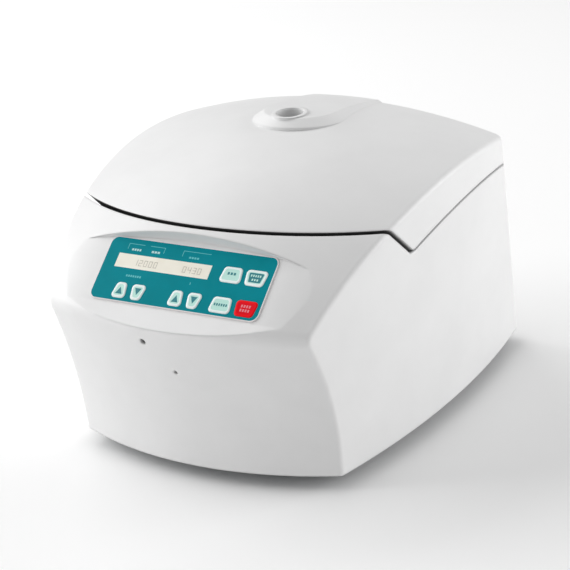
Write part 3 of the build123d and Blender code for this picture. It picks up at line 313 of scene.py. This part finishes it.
def turned_metal(name, light, shade, roughness, groove_mm, depth_mm, worn):
    # aluminium or steel turned on a lathe: rings about its axis draw the light into a fan; bright edges
    material, tree, shader, place = new_finish(name, roughness, 1.0)
    reach = off_axis(tree, place, spin_y)
    ringed = add_node(tree, "ShaderNodeCombineXYZ", inputs={"X": reach, "Y": 0.0, "Z": 0.0}).outputs[0]
    rings = add_node(
        tree,
        "ShaderNodeTexNoise",
        {"noise_dimensions": "3D"},
        {"Vector": ringed, "Scale": per_mm(groove_mm), "Detail": 2.0},
    ).outputs["Fac"]
    base = shaded(tree, grain(tree, place, 30, 4), light, shade)
    tree.links.new(worn_edges(tree, base, 0.5, worn), shader.inputs["Base Color"])
    roughened(tree, shader, rings, roughness - 0.06, roughness + 0.1)
    relief(tree, shader, rings, depth_mm)
    return material


def plated_steel(name, light, shade, roughness=0.32):
    # zinc plated steel sheet and screws: cool grey with soft patches of passivation and rubbed edges
    material, tree, shader, place = new_finish(name, roughness, 1.0)
    patches = grain(tree, place, 4, 5)
    base = shaded(tree, patches, light, shade)
    tree.links.new(worn_edges(tree, base, 0.25, "F2F3F5"), shader.inputs["Base Color"])
    roughened(tree, shader, patches, roughness - 0.06, roughness + 0.12)
    relief(tree, shader, grain(tree, place, 0.7, 2, (1, 6, 1)), 0.008)
    return material


def clear_sheet(name, hue, roughness):
    # cast polycarbonate: clear, faintly tinted, with hair scratches from wiping
    material, tree, shader, place = new_finish(name, roughness, IOR=1.58, Transmission_Weight=1.0)
    tree.links.new(shaded(tree, grain(tree, place, 14, 2), hue, "FFFFFF", 0, 1), shader.inputs["Base Color"])
    scratches = grain(tree, place, 0.8, 4, (1, 14, 1))
    roughened(tree, shader, scratches, roughness, roughness + 0.12, 0.55, 0.7)
    return material


def segment_display(name, light, shade):
    # liquid crystal glass with a reflector behind it: pale grey green, a fine dot raster, a glossy face
    material, tree, shader, place = new_finish(name, 0.22, IOR=1.52)
    raster = add_node(
        tree, "ShaderNodeTexVoronoi", inputs={"Vector": place, "Scale": per_mm(0.8), "Randomness": 0.0}
    ).outputs["Distance"]
    tree.links.new(shaded(tree, grain(tree, place, 16, 2), light, shade), shader.inputs["Base Color"])
    relief(tree, shader, raster, 0.003)
    return material


def ink(name, hex_code, other):
    # screen printed ink: flat colour with slightly uneven cover and a raised matt edge
    material, tree, shader, place = new_finish(name, 0.5, IOR=1.5)
    cover = grain(tree, place, 0.7, 3)
    tree.links.new(shaded(tree, cover, hex_code, other), shader.inputs["Base Color"])
    roughened(tree, shader, cover, 0.45, 0.58)
    relief(tree, shader, cover, 0.01)
    return material


def glass_cloth_board(name, light, shade):
    # epoxy board on woven glass: green solder mask through which the weave just shows,
    # its 0.6 mm threads drawn at 1.2 mm
    material, tree, shader, place = new_finish(name, 0.35, IOR=1.55)
    weave = add_node(
        tree, "ShaderNodeTexBrick", inputs={"Vector": place, "Scale": per_mm(1.2), "Mortar Size": 0.05}
    ).outputs["Fac"]
    tree.links.new(shaded(tree, grain(tree, place, 5, 3), light, shade, 0, 1), shader.inputs["Base Color"])
    roughened(tree, shader, weave, 0.3, 0.42, 0, 1)
    relief(tree, shader, weave, 0.01)
    return material


white_paint = sprayed_paint("sprayed_white_paint", "E9E9E9", "E4E4E4", 3.8)
lid_paint = sprayed_paint("sprayed_white_lid", "EAEAEA", "E5E5E5", 0.0)
grey_plate = moulded_plastic("powder_coated_grey_steel", "8C9092", "7E8284", 0.5, 1.0, 0.03)
liner_grey = moulded_plastic("moulded_grey_abs", "B9BDBF", "AFB3B5", 0.45)
black_abs = moulded_plastic("moulded_black_abs", "26282A", "1C1E20", 0.38)
knob_black = moulded_plastic("moulded_black_knob", "222426", "18191B", 0.34, 0.5, 0.015)
# the port sleeve's light grey is partly painted shade, which darkens its bore below the rim
port_grey_and_bore_shade = moulded_plastic("acetal_grey_and_bore_shade", "CFD0CF", "C6C7C6", 0.36)
teal_film = printed_film("printed_teal_film", "008B98", "008590")
mint_film = printed_film("embossed_mint_key", "CFF3EA", "BFECE1", 0.4)
rim_film = printed_film("embossed_white_rim", "FBFFFE", "F1FCFA", 0.36)
red_film = printed_film("embossed_red_key", "F01226", "E00D20", 0.38)
red_rim = printed_film("embossed_red_rim", "FB1A22", "F2131D", 0.36)
film_edge = printed_film("cut_film_edge", "F7F1F1", "EFE8E8", 0.5)
black_rubber = vulcanised_rubber("vulcanised_black_rubber", "1B1B1C", "2F2F30")
grey_rubber = vulcanised_rubber("vulcanised_grey_rubber", "55585A", "6A6D6F")
spun_steel = turned_metal("spun_stainless_steel", "C9CACB", "BBBDBE", 0.3, 1.6, 0.02, "E4E6E8")
rotor_aluminium = turned_metal("anodised_aluminium", "BFC3C7", "B2B7BB", 0.36, 0.9, 0.012, "E1E4E6")
cover_aluminium = turned_metal("turned_aluminium", "D2D4D6", "C6C9CB", 0.28, 1.1, 0.015, "EDEFF0")
shaft_steel = turned_metal("ground_steel_shaft", "B4B6B9", "A6A9AC", 0.2, 0.6, 0.006, "E0E2E4")
zinc_steel = plated_steel("zinc_plated_steel", "B8BCC0", "A2A7AC")
nickel_pin = plated_steel("nickel_plated_brass", "C9C4B6", "B7B2A4", 0.24)
lamination = plated_steel("stacked_lamination_steel", "6E7073", "5B5E61", 0.5)
copper_coil = plated_steel("enamelled_copper_wire", "B3682F", "8F4D20", 0.35)
clear_window = clear_sheet("cast_clear_polycarbonate", "EEF4F4", 0.05)
display_glass = segment_display("display_glass", "FDF9EC", "F6F1E2")
digit_ink = ink("display_segment", "CFCBBD", "C6C1B2")
teal_ink = ink("printed_teal_ink", "00757F", "00828B")
bracket_ink = ink("printed_light_teal_ink", "45B9C0", "55C4C9")
pale_ink = ink("printed_pale_ink", "A9D8D9", "BFE3E3")
rose_ink = ink("printed_rose_ink", "E8727F", "EE8791")
dark_ink = ink("printed_black_ink", "26282B", "303236")
white_ink = ink("printed_white_ink", "E6E8E8", "F2F3F3")
board_green = glass_cloth_board("glass_cloth_board", "1F5D3A", "194D30")

finishes = {
    white_paint: ("case",),
    lid_paint: ("lid_shell",),
    grey_plate: ("base_plate",),
    liner_grey: ("lid_liner", "lock_case", "display_module"),
    black_abs: ("power_inlet", "fuse_holder", "fuse_drawer", "switch_frame", "switch_rocker", "key_switches"),
    knob_black: ("knob",),
    port_grey_and_bore_shade: ("port_sleeve",),
    teal_film: ("keypad_plate",),
    black_rubber: ("feet", "lid_seal", "bowl_gasket", "motor_mounts"),
    grey_rubber: ("rim_pad",),
    spun_steel: ("bowl",),
    rotor_aluminium: ("rotor", "motor_case"),
    cover_aluminium: ("rotor_cover",),
    shaft_steel: ("motor_shaft", "hinge_pins", "release_spindle", "lock_bolt"),
    zinc_steel: (
        "base_screws", "foot_screws", "bracket_screws", "liner_screws", "lug_screws", "motor_screws",
        "hinge_brackets", "hinge_lugs", "lid_hook", "motor_bracket", "board_posts", "lock_motor",
    ),
    nickel_pin: ("inlet_pins",),
    lamination: ("motor_stator",),
    copper_coil: ("armature",),
    clear_window: ("port_window",),
    display_glass: ("display_window",),
    board_green: ("control_board", "power_board"),
    white_ink: ("rating_plate",),
    dark_ink: ("power_parts",),
}
for finish, names in finishes.items():
    for name in names:
        nodes[name].data.materials.clear()
        nodes[name].data.materials.append(finish)


def on_panel(u, v, lift=0.0):
    """a point of the keypad's plane, lifted off it by so many millimetres"""
    y = panel_y + v * cos(panel_tilt) - lift * sin(panel_tilt)
    z = panel_z + v * sin(panel_tilt) + lift * cos(panel_tilt)
    return Vector((u, y, z)) * MM


def make_piece(name, body, points, faces, materials, slots=None, smooth=False):
    """a mesh that rides on a body; slots gives each face's material where there are several"""
    mesh = bpy.data.meshes.new(name)
    mesh.from_pydata([tuple(p) for p in points], [], faces)
    for material in materials:
        mesh.materials.append(material)
    for polygon in mesh.polygons:
        polygon.use_smooth = smooth
        polygon.material_index = slots[polygon.index] if slots else 0
    piece = bpy.data.objects.new(name, mesh)
    bpy.context.scene.collection.objects.link(piece)
    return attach(piece, body)


def rounded_outline(corners, radius, steps=5):
    """the outline of a convex shape, given anticlockwise, with an arc at each corner"""
    outline = []
    count = len(corners)
    for i, corner in enumerate(corners):
        here = Vector(corner)
        before = (Vector(corners[i - 1]) - here).normalized()
        after = (Vector(corners[(i + 1) % count]) - here).normalized()
        half = before.angle(after) / 2
        centre = here + (before + after).normalized() * (radius / sin(half))
        first = here + before * (radius / (sin(half) / cos(half)))
        last = here + after * (radius / (sin(half) / cos(half)))
        start = atan2(first.y - centre.y, first.x - centre.x)
        turn = atan2(last.y - centre.y, last.x - centre.x) - start
        turn = (turn + pi) % (2 * pi) - pi
        for step in range(steps + 1):
            angle = start + turn * step / steps
            outline.append((centre.x + radius * cos(angle), centre.y + radius * sin(angle)))
    return outline


def trapezium(u, v, low, high, height, inset=0.0):
    """a key's corners, anticlockwise from the lower left, drawn in by inset; low and high are its widths"""
    half = height / 2 - inset
    return [
        (u - low / 2 + inset, v - half),
        (u + low / 2 - inset, v - half),
        (u + high / 2 - inset, v + half),
        (u - high / 2 + inset, v + half),
    ]


def band(start, count):
    """faces between a closed row of points and the next row"""
    return [
        (start + i, start + (i + 1) % count, start + count + (i + 1) % count, start + count + i)
        for i in range(count)
    ]


def key_cap(node, body, u, v, low, high, middle, rim):
    """an embossed key: a steep skirt, a rolled rim and a slightly crowned face"""
    points, faces, slots = [], [], []
    for inset, lift in key_section:
        radius = key_corner - inset * key_corner_growth
        outline = rounded_outline(trapezium(u, v, low, high, key_height, inset), radius)
        points += [on_panel(a, b, lift) for a, b in outline]
    count = len(points) // len(key_section)
    for level in range(len(key_section) - 1):
        faces += band(level * count, count)
        slots += [1 if level < rim_steps else 0] * count
    faces.append(tuple(range(len(points) - count, len(points))))
    slots.append(0)
    cap = make_piece(node + "_cap", body, points, faces, [middle, rim], slots, True)
    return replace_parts(cap, node)


def printed(name, body, outlines, material, lift=ink_lift, place=on_panel):
    """flat ink shapes laid on a surface"""
    points, faces = [], []
    for outline in outlines:
        start = len(points)
        points += [place(u, v, lift) for u, v in outline]
        faces.append(tuple(range(start, len(points))))
    return make_piece(name, body, points, faces, [material])


def bar(u0, v0, u1, v1):
    """a straight stroke between two opposite corners"""
    return [(u0, v0), (u1, v0), (u1, v1), (u0, v1)]


def dashes(u, v, count, wide, high, step):
    """a row of strokes that stands in for a word"""
    return [bar(u + step * i, v, u + step * i + wide, v + high) for i in range(count)]


def triangle(u, v, half, way):
    """an arrow that points up the slope where way is 1 and down where it is -1"""
    return [(u - half, v - way * half), (u + half, v - way * half), (u, v + way * half)][::way]


key_bodies = {}
for body, members in frame["record"]["behaviour"]["bodies"].items():
    for member in members:
        key_bodies[member] = body

keys = (
    ("key_time_up", -46.6, row_low, wide_arrow, narrow_arrow),
    ("key_time_down", -31.7, row_low, narrow_arrow, wide_arrow),
    ("key_speed_up", 1.1, row_low, wide_arrow, narrow_arrow),
    ("key_speed_down", 15.7, row_low, narrow_arrow, wide_arrow),
    ("key_select", 38.4, row_low, wide_word, narrow_word),
    ("key_stop", 58.6, row_low, narrow_word, wide_word),
    ("key_force", 37.7, row_high, wide_word, narrow_word),
    ("key_start", 57.4, row_high, narrow_word, wide_word),
)
for name, u, v, low, high in keys:
    body = key_bodies[name]
    stop = name == "key_stop"
    key_cap(name, body, u, v, low, high, red_film if stop else mint_film, red_rim if stop else rim_film)
    if name.endswith("_up"):
        printed(name + "_mark", body, [triangle(u, v - 0.4, 2.8, 1)], teal_ink, mark_lift)
    if name.endswith("_down"):
        printed(name + "_mark", body, [triangle(u, v + 0.4, 2.8, -1)], teal_ink, mark_lift)
    if name == "key_select":
        marks = dashes(u - 5.4, v - 0.9, 6, 1.2, 2.0, 1.9)
        printed(name + "_mark", body, marks, teal_ink, mark_lift)
    if name == "key_force":
        marks = dashes(u - 3.4, v - 0.2, 3, 1.7, 2.0, 2.5)
        printed(name + "_mark", body, marks, teal_ink, mark_lift)
    if name == "key_start":
        block = rounded_outline(trapezium(u, v + 0.2, 9.6, 12.0, 7.6), 0.8)
        printed(name + "_mark", body, [block], teal_ink, mark_lift)
        marks = dashes(u - 4.3, v + 0.8, 5, 1.1, 1.7, 1.8) + dashes(u - 2.6, v - 2.3, 3, 1.2, 1.6, 2.0)
        printed(name + "_lines", body, marks, mint_film, mark_lift + ink_lift)
    if name == "key_stop":
        marks = dashes(u - 3.9, v + 0.6, 4, 1.3, 2.1, 2.1) + dashes(u - 3.9, v - 2.6, 4, 1.3, 2.1, 2.1)
        printed(name + "_mark", body, marks, rose_ink, mark_lift)

# brackets over the display and the short marks beside them
brackets = []
for left, right, leg in ((-54.5, -41.0, -54.5), (-36.0, -23.2, -23.2 - bracket_line), (-7.6, 15.5, -7.6)):
    brackets.append(bar(left, bracket_top, right, bracket_top + bracket_line))
    brackets.append(bar(leg, bracket_low, leg + bracket_line, bracket_top))
printed("display_brackets", "housing", brackets, bracket_ink)

labels = dashes(-50.5, 15.6, 4, 1.5, 1.7, 2.1) + dashes(-33.5, 15.6, 3, 1.9, 1.7, 2.5)
printed("display_labels", "housing", labels, pale_ink)
labels = dashes(-1.4, 15.4, 4, 1.6, 1.5, 2.2) + dashes(-46.6, -5.4, 7, 1.3, 1.6, 1.9)
printed("panel_labels", "housing", labels + [bar(7.4, -4.6, 8.0, -2.8)], bracket_ink)

# plain numbers of the read-out, each made of up to seven bars
segments = {
    "a": (-1, 1, 1, 1),
    "b": (1, 0, 1, 1),
    "c": (1, -1, 1, 0),
    "d": (-1, -1, 1, -1),
    "e": (-1, -1, -1, 0),
    "f": (-1, 0, -1, 1),
    "g": (-1, 0, 1, 0),
}
lit = {"0": "abcdef", "1": "bc", "2": "abged", "3": "abgcd", "5": "afgcd", "4": "fgbc"}


def number_bars(text, u, v, wide, high, pitch):
    """the strokes of a number's digits, each digit wide by high and a pitch from the next"""
    outlines = []
    for place, digit in enumerate(text):
        centre = u + pitch * place
        for segment in lit[digit]:
            u0, v0, u1, v1 = segments[segment]
            start = (centre + u0 * wide / 2, v + v0 * high / 2)
            end = (centre + u1 * wide / 2, v + v1 * high / 2)
            outlines.append(bar(
                start[0] - segment_half, start[1] - segment_half, end[0] + segment_half, end[1] + segment_half
            ))
    return outlines


readout = number_bars("12000", -43.0, 6.4, 2.3, 4.4, 4.2) + number_bars("0430", -1.5, 6.4, 2.3, 4.4, 4.2)
printed("readout_numbers", "housing", readout, digit_ink)

# pale cut edge round the film
outer = rounded_outline(trapezium(0, 0, film_width, film_width, film_height), film_corner, 8)
inner = rounded_outline(
    trapezium(0, 0, film_width, film_width, film_height, film_border), film_corner - film_border, 8
)
skirt = rounded_outline(trapezium(0, 0, film_width, film_width, film_height, -film_overlap), film_corner, 8)
edge_points = [on_panel(u, v, -film_depth) for u, v in skirt]
edge_points += [on_panel(u, v, 0.0) for u, v in skirt]
edge_points += [on_panel(u, v, ink_lift) for u, v in outer + inner]
count = len(outer)
edge_faces = [face for ring in range(3) for face in band(ring * count, count)]
make_piece("film_cut_edge", "housing", edge_points, edge_faces, [film_edge])

# web of the film round each key, which closes the corners of its cut-out
web_points, web_faces = [], []
for name, u, v, low, high in keys:
    rim_corner = key_corner + web_gap * key_corner_growth
    rim = rounded_outline(trapezium(u, v, low, high, key_height, -web_gap), rim_corner)
    reach = rounded_outline(trapezium(u, v, low, high, key_height, -web_reach), web_corner)
    web_faces += band(len(web_points), len(rim))
    web_points += [on_panel(a, b, ink_lift) for a, b in rim + reach]
make_piece("film_webs", "housing", web_points, web_faces, [teal_film])

# place numbers round the rotor
label_mesh = bmesh.new()
for place in range(places):
    text = bpy.data.curves.new("place_number", "FONT")
    text.body = str(place + 1)
    text.size = number_size * MM
    text.align_x = "CENTER"
    text.align_y = "CENTER"
    letter = bpy.data.objects.new("place_number", text)
    flat = bpy.data.meshes.new_from_object(letter)
    angle = 2 * pi * (place + 0.5) / places
    spin = Matrix.Rotation(angle - pi / 2, 4, "Z")
    x = number_radius * cos(angle)
    y = spin_y + number_radius * sin(angle)
    flat.transform(Matrix.Translation(Vector((x, y, rotor_web_top + number_lift)) * MM) @ spin)
    label_mesh.from_mesh(flat)
    bpy.data.meshes.remove(flat)
    bpy.data.objects.remove(letter)
numbers = bpy.data.meshes.new("rotor_numbers")
label_mesh.to_mesh(numbers)
label_mesh.free()
numbers.materials.append(dark_ink)
rotor_numbers = bpy.data.objects.new("rotor_numbers", numbers)
bpy.context.scene.collection.objects.link(rotor_numbers)
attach(rotor_numbers, "rotor_assembly")

# pale floor, in m, and the height that the lamps face
floor_half = 8.0
lamp_aim = 0.1
floor_mesh = bpy.data.meshes.new("floor")
floor_corners = [(x * floor_half, y * floor_half, 0) for x, y in ((-1, -1), (1, -1), (1, 1), (-1, 1))]
floor_mesh.from_pydata(floor_corners, [], [(0, 1, 2, 3)])
floor = bpy.data.objects.new("floor", floor_mesh)
bpy.context.scene.collection.objects.link(floor)
# matt paper backdrop
floor_finish, floor_tree, floor_shader, floor_place = new_finish(
    "pale_paper_floor", 0.9, Base_Color=colour("FCFCFC"), Specular_IOR_Level=0.1
)
floor_mesh.materials.append(floor_finish)


def softbox(name, azimuth, elevation, distance, size, power):
    """a square lamp that faces the object, by its azimuth from the front and its elevation in degrees"""
    lamp = bpy.data.lights.new(name, "AREA")
    lamp.shape = "SQUARE"
    lamp.size = size
    lamp.energy = power
    way = Vector((
        sin(radians(azimuth)) * cos(radians(elevation)),
        -cos(radians(azimuth)) * cos(radians(elevation)),
        sin(radians(elevation)),
    ))
    holder = bpy.data.objects.new(name, lamp)
    holder.location = way * distance + Vector((0, 0, lamp_aim))
    holder.rotation_euler = way.to_track_quat("Z", "Y").to_euler()
    bpy.context.scene.collection.objects.link(holder)
    return holder


softbox("left_softbox", -74, 27, 2.2, 1.8, 35)
softbox("rear_left_softbox", -118, 46, 2.2, 1.4, 11)
softbox("right_softbox", 122, 9, 2.2, 1.6, 31)

world = bpy.data.worlds.new("studio")
bpy.context.scene.world = world
world.use_nodes = True
sky = world.node_tree.nodes["Background"]
sky.inputs["Color"].default_value = (1, 1, 1, 1)
sky.inputs["Strength"].default_value = 0.46
bpy.context.scene.view_settings.view_transform = "Standard"

# camera behind the lens of the photograph
back = Vector((
    sin(camera_azimuth) * cos(camera_elevation),
    -cos(camera_azimuth) * cos(camera_elevation),
    sin(camera_elevation),
))
level = Vector((cos(camera_azimuth), sin(camera_azimuth), 0))
upright = back.cross(level)
across = level * cos(camera_roll) + upright * sin(camera_roll)
above = upright * cos(camera_roll) - level * sin(camera_roll)
lens = bpy.data.cameras.new("camera")
lens.sensor_width = sensor
lens.lens = focal_pixels * sensor / picture_width
lens.clip_start = 0.05
camera = bpy.data.objects.new("camera", lens)
bpy.context.scene.collection.objects.link(camera)
camera.matrix_world = Matrix((
    (across.x, above.x, back.x, 0),
    (across.y, above.y, back.y, 0),
    (across.z, above.z, back.z, 0),
    (0, 0, 0, 1),
))
camera.location = camera_target + back * camera_distance
bpy.context.scene.camera = camera
